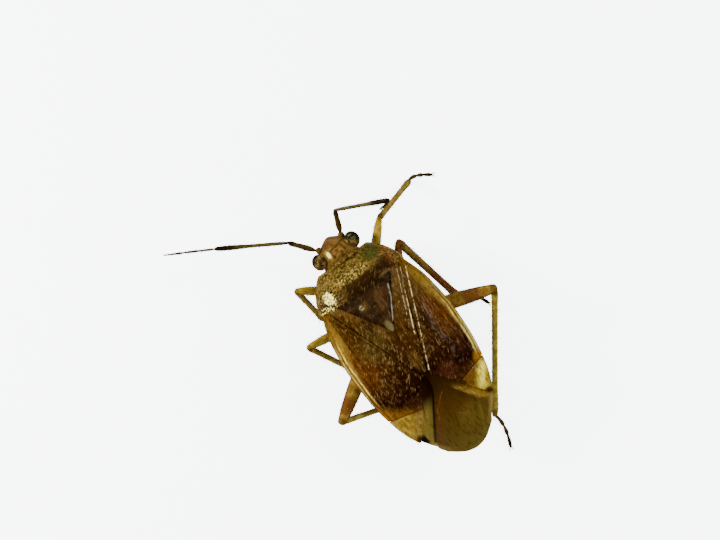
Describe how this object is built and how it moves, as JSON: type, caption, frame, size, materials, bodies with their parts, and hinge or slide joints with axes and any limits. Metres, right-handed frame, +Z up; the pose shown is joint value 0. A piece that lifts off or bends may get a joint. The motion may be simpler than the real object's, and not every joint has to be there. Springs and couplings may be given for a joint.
{
  "type": "leaf bug",
  "caption": "Life-size leaf bug standing on its feet, with folded wings, feelers stretched out and a sucking beak under the body.",
  "frame": {"origin": "on the floor, under the middle of the model's box", "axes": "+Y forward along the body towards the head, +X to the animal's right, +Z up"},
  "size_m": [0.006, 0.0082, 0.0024],
  "materials": {
    "head": "smooth chitin, orange brown with dark marks",
    "eye": "dark, glossy, finely faceted",
    "pronotum": "coarsely punctured chitin, olive brown with short golden hairs",
    "scutellum": "dark chitin with pale edges",
    "underside": "satin chitin, yellow brown",
    "wing_leather": "leathery chitin, dark reddish brown with short golden hairs",
    "cuneus": "pale yellow chitin with a dark tip",
    "wing_membrane": "smoky, slightly glossy membrane",
    "leg": "yellow brown chitin with dark bands near the knees",
    "antenna": "dark olive brown chitin"
  },
  "bodies": {
    "root": {"abdomen": "underside", "antenna_left_1": "antenna", "antenna_left_2": "antenna", "antenna_left_3": "antenna", "antenna_left_4": "antenna", "antenna_right_1": "antenna", "antenna_right_2": "antenna", "antenna_right_3": "antenna", "antenna_right_4": "antenna", "clavus_left": "wing_leather", "clavus_right": "wing_leather", "corium_left": "wing_leather", "corium_right": "wing_leather", "cuneus_left": "cuneus", "cuneus_right": "cuneus", "eye_left": "eye", "eye_right": "eye", "fore_coxa_left": "leg", "fore_coxa_right": "leg", "fore_femur_left": "leg", "fore_femur_right": "leg", "fore_tarsus_left": "leg", "fore_tarsus_right": "leg", "fore_tibia_left": "leg", "fore_tibia_right": "leg", "head": "head", "hind_coxa_left": "leg", "hind_coxa_right": "leg", "hind_femur_left": "leg", "hind_femur_right": "leg", "hind_tarsus_left": "leg", "hind_tarsus_right": "leg", "hind_tibia_left": "leg", "hind_tibia_right": "leg", "membrane_left": "wing_membrane", "membrane_right": "wing_membrane", "mid_coxa_left": "leg", "mid_coxa_right": "leg", "mid_femur_left": "leg", "mid_femur_right": "leg", "mid_tarsus_left": "leg", "mid_tarsus_right": "leg", "mid_tibia_left": "leg", "mid_tibia_right": "leg", "pronotum": "pronotum", "prothorax": "underside", "rostrum": "leg", "scutellum": "scutellum", "thorax": "underside"}
  },
  "joints": []
}
